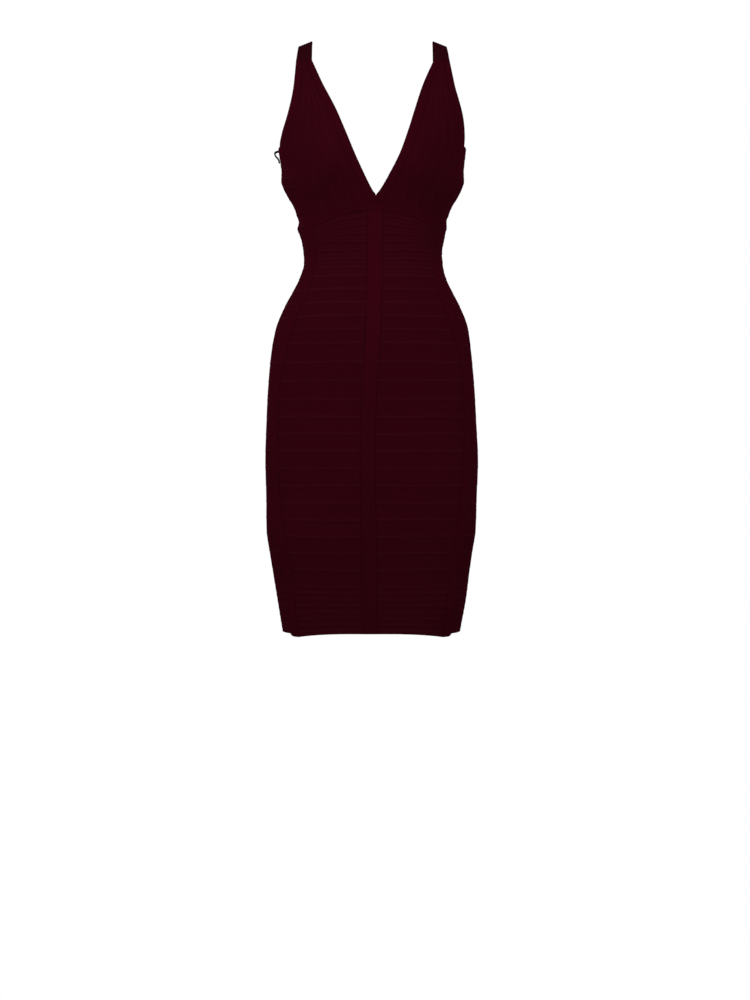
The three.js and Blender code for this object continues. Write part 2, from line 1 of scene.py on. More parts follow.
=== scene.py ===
"""The looks of a sleeveless bodycon dress of knitted bands, built round its fixed frame.

Lengths are in millimetres until a mesh is made. The front faces -Y, and left is the wearer's, +X.
"""

import math

import bmesh
import bpy
import numpy as np
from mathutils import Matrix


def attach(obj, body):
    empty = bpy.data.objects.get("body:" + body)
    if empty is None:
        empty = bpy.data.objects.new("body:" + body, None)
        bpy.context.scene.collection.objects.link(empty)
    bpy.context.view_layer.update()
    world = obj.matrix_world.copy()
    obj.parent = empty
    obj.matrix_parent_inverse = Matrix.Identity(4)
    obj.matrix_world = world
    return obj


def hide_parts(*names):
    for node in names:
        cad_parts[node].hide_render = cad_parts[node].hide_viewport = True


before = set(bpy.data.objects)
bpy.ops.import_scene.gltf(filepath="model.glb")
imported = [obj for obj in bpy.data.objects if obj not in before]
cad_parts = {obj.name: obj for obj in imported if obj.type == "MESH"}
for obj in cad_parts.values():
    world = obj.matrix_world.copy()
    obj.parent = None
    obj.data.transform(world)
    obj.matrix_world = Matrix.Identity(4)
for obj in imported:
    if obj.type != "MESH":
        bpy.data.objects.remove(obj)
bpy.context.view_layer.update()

MM = 0.001


def table(names, *rows):
    """Rows of numbers as named columns."""
    return dict(zip(names.split(), np.array(rows, float).T))


# Cloth
WALL = 1.8  # thickness
SEAM_GAP = -0.1  # pieces that are sewn together reach a little into each other
BAND_RISE = 0.8  # how far the lower edge of a band stands over the next band

# Form of the dress by level: half of its width, how far front and back stand from the middle, and
# how far it sways to one side
FORM = table(
    "level half front back sway",
    (-20, 170, 36, 36, 0),
    (-36, 168, 47, 50, 0),
    (-60, 166, 60, 66, 0),
    (-100, 158, 77, 83, 0.2),
    (-135, 150, 88, 91, 0.5),
    (-168, 145.4, 94, 94, 0.3),
    (-202, 141, 96, 92, 0.9),
    (-220, 141, 95, 90, 1),
    (-239, 132.8, 92, 87, 1.3),
    (-257, 122.2, 89, 83, 1.2),
    (-276, 116, 86, 80, 0.8),
    (-294, 113.3, 84, 77, 0.6),
    (-313, 110.1, 82, 74, 1),
    (-332, 106.7, 81, 72, 1.6),
    (-350, 108.4, 82, 73, 1.6),
    (-369, 114, 85, 77, 1.2),
    (-388, 123.3, 89, 83, 0.9),
    (-406, 133, 93, 90, 0.6),
    (-425, 141.7, 97, 97, 0.4),
    (-443, 148.2, 99, 103, 0),
    (-480, 154.4, 102, 111, -1.1),
    (-536, 159.6, 103, 117, -1.2),
    (-592, 162.5, 103, 116, -1),
    (-648, 164.6, 103, 112, -0.5),
    (-704, 162.9, 101, 107, -0.8),
    (-760, 161.5, 99, 102, -1.3),
    (-787, 157.3, 97, 99, -1.5),
    (-825, 151.4, 95, 96, -1.2),
    (-862, 146, 93, 93, -0.5),
    (-899, 139.6, 90, 89, -0.9),
    (-930, 134, 88, 86, -1.2),
)
FULLNESS = 2.3  # 2 would make each ring an ellipse, and more makes it squarer

# Cups: the front is fuller round two points, for a spread across and a height
CUP = {"apart": 72, "level": -190, "depth": 28, "spread": 44, "height": 54}

# Neckline: half of the opening and the width of its band
NECKLINE = table(
    "level half band",
    (-36, 93.2, 8.5),
    (-74, 77, 12),
    (-114, 60.7, 13.5),
    (-153, 46.8, 14),
    (-189, 33, 14),
    (-225, 15, 14.5),
    (-242, 5.2, 14.5),
    (-249.1, 0, 14.5),
    (-290, 0, 14.5),
)

# The middle of the front wanders a little to one side and then the other
CENTRE_LINE = table(
    "level lean",
    (-36, 1.3),
    (-76, 1.6),
    (-114, 5),
    (-152, 7.2),
    (-190, 8.2),
    (-228, 7),
    (-250, 6),
    (-310, 4.5),
    (-360, 3.7),
    (-470, 0.8),
    (-563, -5),
    (-677, -6),
    (-782, -4.5),
    (-920, -2.5),
)
CENTRE_HALF = 11.5

# Contour bands: they follow the armholes, then run down the side front to the hem
CONTOUR = table(
    "level centre lean band",
    (-36, 113.1, 1.3, 9),
    (-60, 115.2, 2.7, 11),
    (-80, 118, 3.8, 12),
    (-100, 122.7, 5.1, 13),
    (-125, 129.8, 5.2, 14),
    (-150, 136.7, 2.2, 14),
    (-168, 138.1, -0.2, 15),
    (-190, 131.5, 2, 16),
    (-228, 118, 5, 17),
    (-249, 111.5, 4.8, 17),
    (-280, 104, 5, 18),
    (-310, 98, 4.8, 18),
    (-333, 95.3, 4, 18),
    (-357, 96.5, 2.9, 18),
    (-380, 101.5, 1.8, 18),
    (-403, 109.5, 0.8, 18),
    (-434, 122, 0, 18),
    (-472, 134, 0.6, 18),
    (-510, 142, 0, 18),
    (-556, 146.5, -1.2, 18),
    (-609, 147.4, -1.6, 18),
    (-663, 146, -2.2, 18),
    (-728, 141, -2.6, 18),
    (-772, 135.5, -2, 18),
    (-825, 126.5, -0.8, 18),
    (-877, 119.5, -2, 18),
    (-930, 114.5, -1.5, 18),
)

# Horizontal bands from the underarm to the hem
UNDERARM = -166
BAND_GROUPS = table(
    "count height",
    (8, 12.975),
    (1, 8.2),
    (7, 13),
    (5, 20.5),
    (3, 28.3),
    (6, 26),
    (5, 25.2),
    (7, 9.75),
    (1, 5.55),
)
EDGES = UNDERARM - np.cumsum([0, *np.repeat(BAND_GROUPS["height"], BAND_GROUPS["count"].astype(int))])
BODICE_BANDS = 8  # those that are only on the sides and the back
ZIP_BANDS = 24  # those beside the zip
FRONT_EDGES = EDGES[BODICE_BANDS:]
HEM = EDGES[-1]

# Underbust band: it falls away from the middle towards each side, by fall at the distance reach
UNDERBUST = {"top": -257.5, "bottom": -270, "fall": 31, "reach": 108, "power": 1.8}
FALL_FADES = 48  # below the seam the bands are level again after this much
SETTLES = 6  # rounds in which a level on that seam settles

# Hem: the middle of the front rides up, and the contour bands hang down with the edges beside them
HEM_FALL = {"lift": 3, "hang": 4.2, "power": 3, "fades": 110}

# Straps
STRAP_JOINT = -36  # where they meet the cups
STRAP_OUTER = 117.6  # from the middle to their outer edges there
STRAP_OUTER_TOP = 114.5  # the same at the top of the shoulder
STRAP_APART = 2.5  # how far they move apart behind the shoulder
STRAP_IN = 14.5  # how far they come together below that
STRAP_FOOT = -175.2  # where they end, just under the top of the back panels
STRAP_BACK = {"rows": 46, "length": 140}  # below that height on the back, with its rough length
SHOULDER_SLOPE = 0.4

# Back
SIDE_BACK = math.radians(115)  # seam between the side panels and the back panels
BACK_TOP = -175
BACK_DIP = 57  # of the top edge at the centre back, below that edge at the straps
TOP_FADES = 150  # below the top edge the bands are level again after this much
# Shares of the way round, from the middle of the front, over which the top edge falls behind the
# armhole, and over which it dips towards the centre back
TOP_FALLS = (0.42, 0.6)
TOP_DIPS = (0.75, 1)

# Zip at the centre back: half of the gap between the panels, and the length over which it closes. The
# tape lies at a recess in the gap, and is tucked deeper near its edges, under the panels
ZIP = {"half": 7, "closes": 4}
TAPE = {"half": 10.5, "recess": 0.6, "tucked": 2.2, "tucks": 2, "depth": 0.8, "roll": 0.3}
ZIP_END = EDGES[ZIP_BANDS]
ZIP_FOOT = ZIP_END + 1.2  # where the gap ends
TOOTH = {"pitch": 2.4, "wide": 2.7, "tall": 1.25, "proud": 1.5, "head": 0.55, "out": 0.15}
CHAIN = {"above_end": 6, "below_slider": 4}  # where the teeth start and end
SLIDER_LEVEL = -243
METAL_EDGE = 0.16  # rounding of the metal's edges

# Hanger loop, at a share of the way round. The knots of a strand are given as how far they lie out
# from the form, and above the edge of the armhole
LOOP = {"radius": 1.1, "apart": 4.6, "turn": 0.53, "sides": 12, "points": 48}
LOOP_INSIDE = ((-5.9, -24), (-5.9, -14), (-5.9, -6))
LOOP_ARCH = {"reach": 7.1, "rise": 4.2, "out": 0.7, "down": -0.4, "knots": 6}
LOOP_OUTSIDE = ((6.6, -3.6), (4.6, -6.6))
LOOP_FOOT = (2.8, -9.5)

# Bands of the cups
CUP_BANDS = 5
CUP_WIDTH = 60  # rough width of a cup
CUP_STOPS = np.array([0, 0.03, 0.08, 0.16, 0.35, 0.55, 0.74, 0.83, 0.89, 0.94, 0.98])  # across a band
CUP_SLANT = 0.09  # how far, as a share of the cup, its bands slant inwards at the underbust seam
CUP_NARROW = (1.5, 8)  # width of a band where its relief starts, and where it is full

# Columns of each piece's grid: its rough width, and about how far apart they lie
COLUMNS = {
    "front_panel": (120, 3.1),
    "side_panel": (105, 3.2),
    "back_panel": (130, 3.2),
    "contour_band": (17, 2.1),
    "centre_front_band": (2 * CENTRE_HALF, 2.2),
    "neckline_band": (13, 1.9),
    "underbust_band": (230, 2.6),
    "strap": (24, 1.6),
    "zip_tape": (2 * TAPE["half"], 1.1),
}
# Rows, in the same way
ROWS = {"neckline_band": (222, 3), "cup": (240, 3), "underbust_band": (12, 1.6), "strap": (120, 2.6)}
LONG_STEP = 3.5  # between the rows of a long band
TAPE_STEP = 4

# Fine ribs along the bands: how far a band lies under the panels' edges, then pitch and height
RIBS = {
    "contour_band": (0.25, 4.3, 0.28),
    "centre_front_band": (0.3, 4.6, 0.28),
    "neckline_band": (0.3, 4.4, 0.22),
    "underbust_band": (0.3, 4, 0.22),
    "strap": (0.45, 4, 0.42),
}

# Painted sheen: how much paler than the panels the bands are, for the brighter sheen of bands knitted
# the other way; the centre front band is only so above the hips, and the underbust band gets a painted
# highlight along a line near its lower edge
PAINTED_SHEEN = {"contour": 0.3, "neckline": 0.15, "underbust": 0.8, "centre": 0.65, "centre_fades": (-600, -450)}
UNDERBUST_LINE = {"below": 10.2, "width": 1.4}
# The paleness of these ridges is a painted highlight
CUP_RIDGE = 0.5  # how strongly the ridges on the cups show, against those on the panels

# Relief of a band, measured down from its upper edge or up from its lower one. Its ridges also get a
# painted highlight and its groove painted shade
RIDGE = {"up": 0.4, "width": 1.3, "height": 0.2}
GROOVE = {"below": 2.1, "width": 0.9, "depth": 0.08, "painted_shade": 0.4}
BAND_SWELL = 0.12  # how much higher a band's lower edge is than its upper one
HALFWAY = {"height": 13, "near": 1, "width": 1.2, "share": 0.4}  # a fainter line along these bands
UPPER_STOPS = (0, 0.4, 0.9, 1.5, 2.2)
LOWER_STOPS = (2.6, 1.8, 1.1, 0.5, 0.1)
MIDDLE_STOPS = 5

# Border of a piece, rolled in at a radius, with painted shade along the seam, where the painted
# highlight fades
ROLL = 0.7
BORDER_STOPS = (0, 0.1, 0.3, 0.55, 0.85)
BORDER_END = 2.2
SEAM = {"width": 0.9, "painted_shade": 0.5, "hides": 0.6}
INNER_FACE = {"relief": 0.35, "roll": 0.6}  # how far it follows the relief and the roll of the outer

# Waves of the band edges: height, radians for each radian round, millimetres down for each radian,
# and phase. They start below the underarm, grow over a length, and fade above the hem
WAVES = ((0.42, 3.1, 41, 0), (0.3, 7.3, -23, 1.3), (0.16, 15, 17, 0.6))
WAVES_FADE = {"from": 10, "grow": 30, "hem": 16}

# Soft creases of the cloth: where the middle lies, in degrees round from the front and by level,
# then half of the length and width, the height of the ridge, and how far it tilts, in degrees
CREASES = table(
    "round level length width height tilt",
    (-88, -292, 34, 6, 2.3, 0),
    (-84, -278, 30, 5.5, -1.4, 4),
    (-92, -312, 38, 7, -0.9, -3),
    (-80, -330, 26, 6, 0.8, 6),
    (-86, -350, 32, 7, -0.7, 0),
    (84, -290, 30, 6.5, 1.1, 3),
    (88, -277, 26, 5, -1, -2),
    (92, -318, 34, 7, -0.8, 5),
    (80, -340, 28, 6, 0.7, -4),
    (62, -432, 22, 6, 0.7, -9),
    (50, -396, 26, 8, -0.6, -6),
    (-52, -405, 30, 8, -0.6, 7),
    (-20, -330, 34, 7, -0.5, 3),
    (24, -318, 30, 8, -0.6, -4),
    (26, -334, 24, 6, 0.4, 2),
    (-40, -205, 10, 46, 0.8, -16),
    (42, -212, 9, 44, 0.8, 18),
    (-58, -225, 26, 8, -0.9, 30),
    (58, -222, 24, 8, -0.9, -32),
    (-30, -700, 46, 24, 0.8, 10),
    (34, -640, 52, 26, -0.8, -8),
    (-70, -760, 30, 40, 0.9, 14),
    (72, -780, 28, 44, -0.8, -12),
    (-60, -880, 24, 26, 1, 20),
    (64, -874, 22, 24, 1.1, -22),
    (168, -318, 52, 8, -1.3, 2),
    (-160, -330, 60, 8, 1.2, -3),
    (176, -346, 66, 9, -1.4, 3),
    (-170, -364, 58, 9, 1.2, -2),
    (152, -376, 44, 8, -1, 5),
    (-148, -300, 40, 8, -0.9, -6),
    (150, -560, 34, 10, -0.9, 12),
    (-152, -566, 36, 10, -0.9, -10),
    (120, -300, 30, 7, 0.9, 4),
    (-122, -284, 32, 7, 1, -4),
    (-118, -306, 30, 6, -0.8, 2),
    (160, -780, 30, 48, 0.9, 8),
    (-156, -740, 34, 52, -0.9, -6),
)
CREASE_GIRTH = 0.9  # length round the dress for each radian, as a share of half of its width

# Colours, as linear red, green and blue: a knit has one for each of its tones. The second tone is a
# painted highlight on the band edges, and the third is painted shade in the grooves and along the seams
TONES = ("Cloth", "Painted highlight", "Painted shade")
WINE = ((0.0262, 0.0013, 0.0044), (0.0315, 0.0027, 0.0064), (0.022, 0.0011, 0.0036))
# The bands' paler tone is painted sheen
PAINTED_SHEEN_WINE = ((0.026, 0.0013, 0.0043), (0.0325, 0.0013, 0.0048), (0.022, 0.0011, 0.0036))
# Painted shade: the straps get a darker copy of the wine knit
SHADED_STRAP_WINE = ((0.0205, 0.002, 0.0041), (0.024, 0.0025, 0.0053), (0.017, 0.0014, 0.0031))
TAPE_WINE = (0.012, 0.0006, 0.002)
BLACK = (0.006, 0.006, 0.007)
NICKEL = (0.36, 0.35, 0.36)
SHEEN = (0.6, 0.08, 0.2, 1)

# Stitches, in metres: width and height of one, and how deep they look
KNIT_STITCH = (0.0011, 0.0009)
TAPE_STITCH = (0.0008, 0.0006)
CORD_STITCH = (0.0012, 0.0008)
KNIT_RELIEF = {"Strength": 0.5, "Distance": 0.00018}
PLAIN_RELIEF = {"Strength": 0.6, "Distance": 0.0001}

# Studio, in metres and watts: place, size and power of each lamp
LAMPS = {
    "key": ((-0.9, -1.5, 0.35), 1.2, 25.5),
    "fill": ((1.1, -1.6, 0.25), 1.3, 20),
    "left side": ((1.9, -0.1, -0.4), 1.2, 9),
    "right side": ((-1.9, -0.1, -0.4), 1.2, 9),
    "back left": ((1.2, 1.8, 0.5), 1.4, 30),
    "back right": ((-1.2, 1.8, 0.5), 1.4, 30),
}
LAMPS_AIM = (0, 0, -0.45)
WORLD_LIGHT = 0.2  # what the white background gives; the camera sees it at 1
CAMERA = {"lens": 69.7, "shift_y": -0.06, "place": (0.0046, -3.0, -0.617)}


# The form of the dress


def value_at(rows, column, level):
    """One column of a table at any level, on a smooth curve through its rows."""
    levels, values = rows["level"], rows[column]
    level = np.asarray(level, float)
    last = len(levels) - 1
    low = np.clip(np.searchsorted(-levels, -level), 1, last)
    high = low - 1
    after = np.minimum(np.arange(last + 1) + 1, last)
    before = np.maximum(np.arange(last + 1) - 1, 0)
    slopes = (values[after] - values[before]) / (levels[after] - levels[before])
    run = levels[low] - levels[high]
    t = np.clip((level - levels[high]) / run, 0, 1)
    rise = t * t * (3 - 2 * t)
    ends = values[high] * (1 - rise) + values[low] * rise
    return ends + run * t * (1 - t) * (slopes[high] * (1 - t) - slopes[low] * t)


def mix(a, b, share):
    return a + (b - a) * share


def smooth(value, low, high):
    t = np.clip((value - low) / (high - low), 0, 1)
    return t * t * (3 - 2 * t)


def bump(distance, width):
    return np.exp(-((distance / width) ** 2))


def fade(distance, length):
    return np.clip(1 - distance / length, 0, 1)


def lean(level):
    return value_at(CENTRE_LINE, "lean", level)


def form_point(angle, level):
    """Place on the form, by the angle from the middle of the front, and by level."""
    angle, level = np.broadcast_arrays(np.asarray(angle, float), np.asarray(level, float))
    sine, cosine = np.abs(np.sin(angle)), np.cos(angle)
    depth = np.where(cosine > 0, value_at(FORM, "front", level), value_at(FORM, "back", level))
    half = value_at(FORM, "half", level)
    reach = (sine / half) ** FULLNESS + (np.abs(cosine) / depth) ** FULLNESS
    radius = reach ** (-1 / FULLNESS)
    x = radius * np.sin(angle) + value_at(FORM, "sway", level)
    return np.stack([x, -radius * cosine - cup_fullness(x, cosine, level), level], -1)


def cup_fullness(x, cosine, level):
    across = bump(x + CUP["apart"], CUP["spread"]) + bump(x - CUP["apart"], CUP["spread"])
    return CUP["depth"] * np.maximum(0, cosine) * bump(level - CUP["level"], CUP["height"]) * across


def angle_at(x, level, face="front"):
    """Angle of the place on the front, or on the back, that lies at x."""
    half = value_at(FORM, "half", level)
    depth = value_at(FORM, face, level)
    aside = x - value_at(FORM, "sway", level)
    y = depth * (1 - (np.abs(aside) / half) ** FULLNESS) ** (1 / FULLNESS)
    return np.arctan2(aside, y if face == "front" else -y)


def step_along(angle, level, distance):
    """The angle that lies a distance along the cloth from another angle."""
    probe = 0.01
    ahead, behind = form_point(angle + probe, level), form_point(angle - probe, level)
    return angle + distance * 2 * probe / np.linalg.norm(ahead - behind, axis=-1)


def contour_angle(side, level, beside=0):
    """Angle of the contour band's middle, or of a place that lies beside it."""
    x = side * value_at(CONTOUR, "centre", level) + value_at(CONTOUR, "lean", level)
    return step_along(angle_at(x, level), level, side * beside)


def contour_inner(side, level):
    return contour_angle(side, level, -value_at(CONTOUR, "band", level) / 2 - SEAM_GAP)


def contour_outer(side, level):
    return contour_angle(side, level, value_at(CONTOUR, "band", level) / 2 + SEAM_GAP)


def seam_level(start, angle_of, share=1):
    """The level on a line that follows the underbust seam."""
    level = start
    for _ in range(SETTLES):
        x = form_point(angle_of(level), level)[..., 0]
        away = np.abs(x - lean(level)) / UNDERBUST["reach"]
        level = start - share * UNDERBUST["fall"] * away ** UNDERBUST["power"]
    return level


def neckline_x(side, level, share):
    """Across the neckline band: 0 is the edge of the neckline and 1 the seam with the cup."""
    half = np.maximum(value_at(NECKLINE, "half", level), SEAM_GAP / 2)
    return lean(level) + side * (half + share * value_at(NECKLINE, "band", level))


def top_edge(angle):
    """Level of the top edge of the side and back panels."""
    turn = np.abs(angle) / math.pi
    fallen, dipped = smooth(turn, *TOP_FALLS), smooth(turn, *TOP_DIPS)
    return UNDERARM + (BACK_TOP - UNDERARM) * fallen - BACK_DIP * dipped


def hem_shift(level, share):
    """How far the hem of the front rides up or hangs down, fading above it."""
    near = fade(level - HEM, HEM_FALL["fades"])
    drop = (HEM_FALL["lift"] + HEM_FALL["hang"]) * share ** HEM_FALL["power"]
    return near * near * (HEM_FALL["lift"] - drop)


def crease(angle, level):
    """Height of the soft creases of the cloth."""
    total = np.zeros(np.broadcast(angle, level).shape)
    half = value_at(FORM, "half", level)
    for row in range(len(CREASES["round"])):
        spot = {name: values[row] for name, values in CREASES.items()}
        turn = (angle - math.radians(spot["round"]) + math.pi) % (2 * math.pi) - math.pi
        across, up = turn * half * CREASE_GIRTH, level - spot["level"]
        tilt = math.radians(spot["tilt"])
        along = across * math.cos(tilt) + up * math.sin(tilt)
        aside = up * math.cos(tilt) - across * math.sin(tilt)
        total += spot["height"] * bump(along, spot["length"]) * bump(aside, spot["width"])
    return total


def waver(angle, level):
    """How far the band edges stray from level, in long uneven waves that die out at the borders."""
    waves = sum(
        height * np.sin(turns * angle + level / pitch + phase)
        for height, turns, pitch, phase in WAVES
    )
    grown = 1 - fade(UNDERARM - WAVES_FADE["from"] - level, WAVES_FADE["grow"])
    return waves * grown * (1 - fade(level - HEM, WAVES_FADE["hem"]))


# Grids of cloth


def stops_across(width, step):
    """Shares of a width, about a step apart, with closer ones at both rolled borders."""
    border = np.array(BORDER_STOPS) / width
    end = BORDER_END / width
    inner = np.linspace(end, 1 - end, max(2, round(width / step)))
    return np.concatenate([border, inner, 1 - border[::-1]])


def band_stops(edges):
    """Levels of the rows of a banded panel, with their distance below the edge above them, and
    the height of their band."""
    level, below, height = [], [], []
    for top, bottom in zip(edges[:-1], edges[1:]):
        tall = top - bottom
        middle = np.linspace(UPPER_STOPS[-1], tall - LOWER_STOPS[0], MIDDLE_STOPS)[1:-1]
        stops = [*UPPER_STOPS, *middle, *(tall - np.array(LOWER_STOPS))]
        if top == edges[0]:
            stops = [*BORDER_STOPS, *[stop for stop in stops if stop > BORDER_STOPS[-1]]]
        if bottom == edges[-1]:
            kept = [stop for stop in stops if stop < tall - BORDER_STOPS[-1]]
            stops = [*kept, *(tall - np.array(BORDER_STOPS[::-1]))]
        level += [top - stop for stop in stops]
        below += list(stops)
        height += [tall] * len(stops)
    return tuple(np.array(values)[:, None] for values in (level, below, height))


def band_relief(below, height):
    """Rise of a band, and how strongly the painted highlight on its ridges and the painted shade in its
    groove show. A ridge stands on each of its edges, and reaches over both bands there."""
    under, over = below + RIDGE["up"], height - below - RIDGE["up"]
    ridge = np.maximum(bump(under, RIDGE["width"]), bump(over, RIDGE["width"]))
    groove = bump(below - GROOVE["below"], GROOVE["width"])
    rise = BAND_SWELL * smooth(below / height, 0, 1) + RIDGE["height"] * ridge - GROOVE["depth"] * groove
    return rise, ridge, GROOVE["painted_shade"] * groove


def halfway_line(below, height):
    """How strongly the faint line along the middle of the narrow bands of the midriff shows."""
    narrow = bump(height - HALFWAY["height"], HALFWAY["near"])
    return HALFWAY["share"] * narrow * bump(below - height / 2, HALFWAY["width"])


def ribbed_relief(name, across):
    """Rise of a band with fine ribs that run along it, by the distance across it."""
    under, pitch, height = RIBS[name]
    return BAND_RISE - under + height * (0.5 - 0.5 * np.cos(2 * math.pi * across / pitch))


def border_distances(base):
    """Distance along the cloth from the left, right, top and bottom border, for a grid of points."""
    across = np.cumsum(np.linalg.norm(np.diff(base, axis=1), axis=2), axis=1)
    down = np.cumsum(np.linalg.norm(np.diff(base, axis=0), axis=2), axis=0)
    left = np.pad(across, ((0, 0), (1, 0)))
    top = np.pad(down, ((1, 0), (0, 0)))
    return left, left[:, -1:] - left, top, top[-1:] - top


def rolled(distance, radius):
    """How far a rolled border has turned in at a distance from it."""
    inset = radius - np.minimum(distance, radius)
    return radius - np.sqrt(np.maximum(radius**2 - inset**2, 0))


def outward(base):
    """Normals of a grid of points, pointing away from the middle of the dress."""
    across = np.gradient(base, axis=1)
    down = np.gradient(base, axis=0)
    normal = np.cross(across, down)
    normal /= np.maximum(np.linalg.norm(normal, axis=2, keepdims=True), 1e-9)
    middle = normal[normal.shape[0] // 2, normal.shape[1] // 2]
    away = base[base.shape[0] // 2, base.shape[1] // 2] * (1, 1, 0)
    return normal if middle @ away > 0 else -normal


def grid_faces(rows, columns, first=0):
    i, j = np.mgrid[0 : rows - 1, 0 : columns - 1]
    a = (first + i * columns + j).ravel()
    return np.stack([a, a + 1, a + 1 + columns, a + columns], 1)


def rim_faces(rows, columns):
    """Faces that close the four borders between the outer grid and the inner one after it."""
    grid = np.arange(rows * columns).reshape(rows, columns)
    ring = np.concatenate([grid[0, :-1], grid[:-1, -1], grid[-1, :0:-1], grid[:0:-1, 0]])
    after = np.roll(ring, -1)
    count = rows * columns
    return np.stack([after, ring, ring + count, after + count], 1)


def add_mesh(name, points, faces, uv=None, masks=None):
    """A mesh object from points in millimetres, with a UV map and masks by point if it has them."""
    mesh = bpy.data.meshes.new(name)
    mesh.from_pydata((np.asarray(points) * MM).tolist(), [], [tuple(face) for face in faces])
    if uv is not None:
        corners = np.empty(len(mesh.loops), int)
        mesh.loops.foreach_get("vertex_index", corners)
        layer = mesh.uv_layers.new(name="cloth")
        layer.data.foreach_set("uv", (np.asarray(uv)[corners] * MM).astype(np.float32).ravel())
    for mask, values in (masks or {}).items():
        layer = mesh.attributes.new(mask, "FLOAT", "POINT")
        layer.data.foreach_set("value", np.asarray(values, np.float32).ravel())
    mesh.shade_smooth()
    piece = bpy.data.objects.new(name, mesh)
    bpy.context.scene.collection.objects.link(piece)
    return piece


def lay_cloth(name, base, rise=0, lift=0, ridge=0, groove=0, wall=WALL, roll=ROLL):
    """A closed shell of cloth on a grid of points. rise is the relief of its outer face, lift is how
    far creases move the whole of it, and ridge and groove are where it gets a painted highlight and
    painted shade."""
    shape = base.shape[:2]
    rise, lift, ridge, groove = (np.broadcast_to(given, shape) for given in (rise, lift, ridge, groove))
    left, right, top, bottom = border_distances(base)
    border = np.minimum(np.minimum(left, right), np.minimum(top, bottom))
    normal = outward(base)
    turned = rolled(border, roll)
    sunk = INNER_FACE["relief"] * rise + lift - wall + INNER_FACE["roll"] * turned
    outer = base + normal * (rise + lift - turned)[..., None]
    inner = base + normal * sunk[..., None]
    faces = np.concatenate([
        grid_faces(*shape),
        grid_faces(*shape, shape[0] * shape[1])[:, ::-1],
        rim_faces(*shape),
    ])
    first = np.cross(outer[0, 1] - outer[0, 0], outer[1, 1] - outer[0, 0])
    if first @ normal[0, 0] < 0:
        faces = faces[:, ::-1]
    # Painted shade along the seams, where the painted highlight fades
    seam = bump(border, SEAM["width"])
    uv = np.stack([left, top], -1).reshape(-1, 2)
    masks = {
        "ridge": np.tile((ridge * (1 - SEAM["hides"] * seam)).ravel(), 2),
        "groove": np.tile(np.maximum(groove, SEAM["painted_shade"] * seam).ravel(), 2),
    }
    points = np.concatenate([outer.reshape(-1, 3), inner.reshape(-1, 3)])
    return add_mesh(name, points, faces, np.concatenate([uv, uv]), masks)


def fit(piece, material, node=None, body="dress"):
    """Gives a piece its material, the place of its node if it takes one and its body."""
    piece.data.materials.append(material)
    if node:
        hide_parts(node)
    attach(piece, body)


def sew(node, base, relief, material):
    """Cloth on a grid of points, in the place of its node."""
    piece = lay_cloth(f"{node}_cloth", base, **relief)
    fit(piece, material, node)


def sew_on_form(node, angle, level, relief, material):
    """Cloth that lies on the form of the dress, with its soft creases."""
    creased = {**relief, "lift": crease(angle, level)}
    sew(node, form_point(angle, level), creased, material)


# The pieces of cloth


def sided(kind, side):
    return kind + ("_left" if side > 0 else "_right")


def shares(name):
    """Places across the grid of a piece, as shares of its width."""
    return stops_across(*COLUMNS[name])[None, :]


def drops(name):
    """Places down it, as shares of its length."""
    return stops_across(*ROWS[name])[:, None]


def banded(below, height):
    """Relief of a banded panel, and where it gets its painted highlight and painted shade."""
    rise, ridge, groove = band_relief(below, height)
    return {"rise": rise, "ridge": ridge + halfway_line(below, height), "groove": groove}


def front_panel(side, material):
    level, below, height = band_stops(FRONT_EDGES)
    share = shares("front_panel")

    def angle_of(at):
        start = angle_at(lean(at) + side * (CENTRE_HALF + SEAM_GAP), at)
        return mix(start, contour_inner(side, at), share)

    fall = fade(FRONT_EDGES[0] - level, FALL_FADES)
    fallen = seam_level(level, angle_of, fall)
    at = fallen + waver(angle_of(fallen), level) + hem_shift(level, share)
    name = sided("front_panel", side)
    sew_on_form(name, angle_of(at), at, banded(below, height), material)


def wrapped_panel(kind, side, angle_of, material):
    """A banded panel whose top edge is the armhole or the top of the back."""
    share = shares(kind)
    level, below, height = band_stops(EDGES)
    shift = top_edge(angle_of(share, level)) - UNDERARM
    at = level + shift * fade(UNDERARM - level, TOP_FADES)
    at = at + waver(angle_of(share, at), at)
    name = sided(kind, side)
    relief = banded(below, height)
    sew_on_form(name, angle_of(share, at), at, relief, material)


def side_panel(side, material):
    def angle_of(share, level):
        return mix(contour_outer(side, level), side * SIDE_BACK, share)

    wrapped_panel("side_panel", side, angle_of, material)


def back_panel(side, material):
    def angle_of(share, level):
        start = step_along(side * SIDE_BACK, level, side * SEAM_GAP)
        opening = mix(ZIP["half"], 0, smooth(ZIP_FOOT - level, 0, ZIP["closes"]))
        middle = side * angle_at(side * opening, level, "back")
        return mix(start, side * (middle % (2 * math.pi)), share)

    wrapped_panel("back_panel", side, angle_of, material)


def along_stops(top, bottom, step):
    """Levels from the top to the bottom, about a step apart, closer at both ends."""
    length = top - bottom
    return (top - length * stops_across(length, step))[:, None]


def contour_band(side, material):
    level = along_stops(STRAP_JOINT, HEM, LONG_STEP)
    share = shares("contour_band")
    width = value_at(CONTOUR, "band", level)
    rounded = np.sqrt(1 - np.maximum(0, 2 * share - 1) ** 2)
    at = level + rounded * hem_shift(level, 1)
    angle = contour_angle(side, at, width * (share - 0.5))
    relief = {"rise": ribbed_relief("contour_band", width * share), "ridge": PAINTED_SHEEN["contour"]}
    name = sided("contour_band", side)
    sew_on_form(name, angle, at, relief, material)


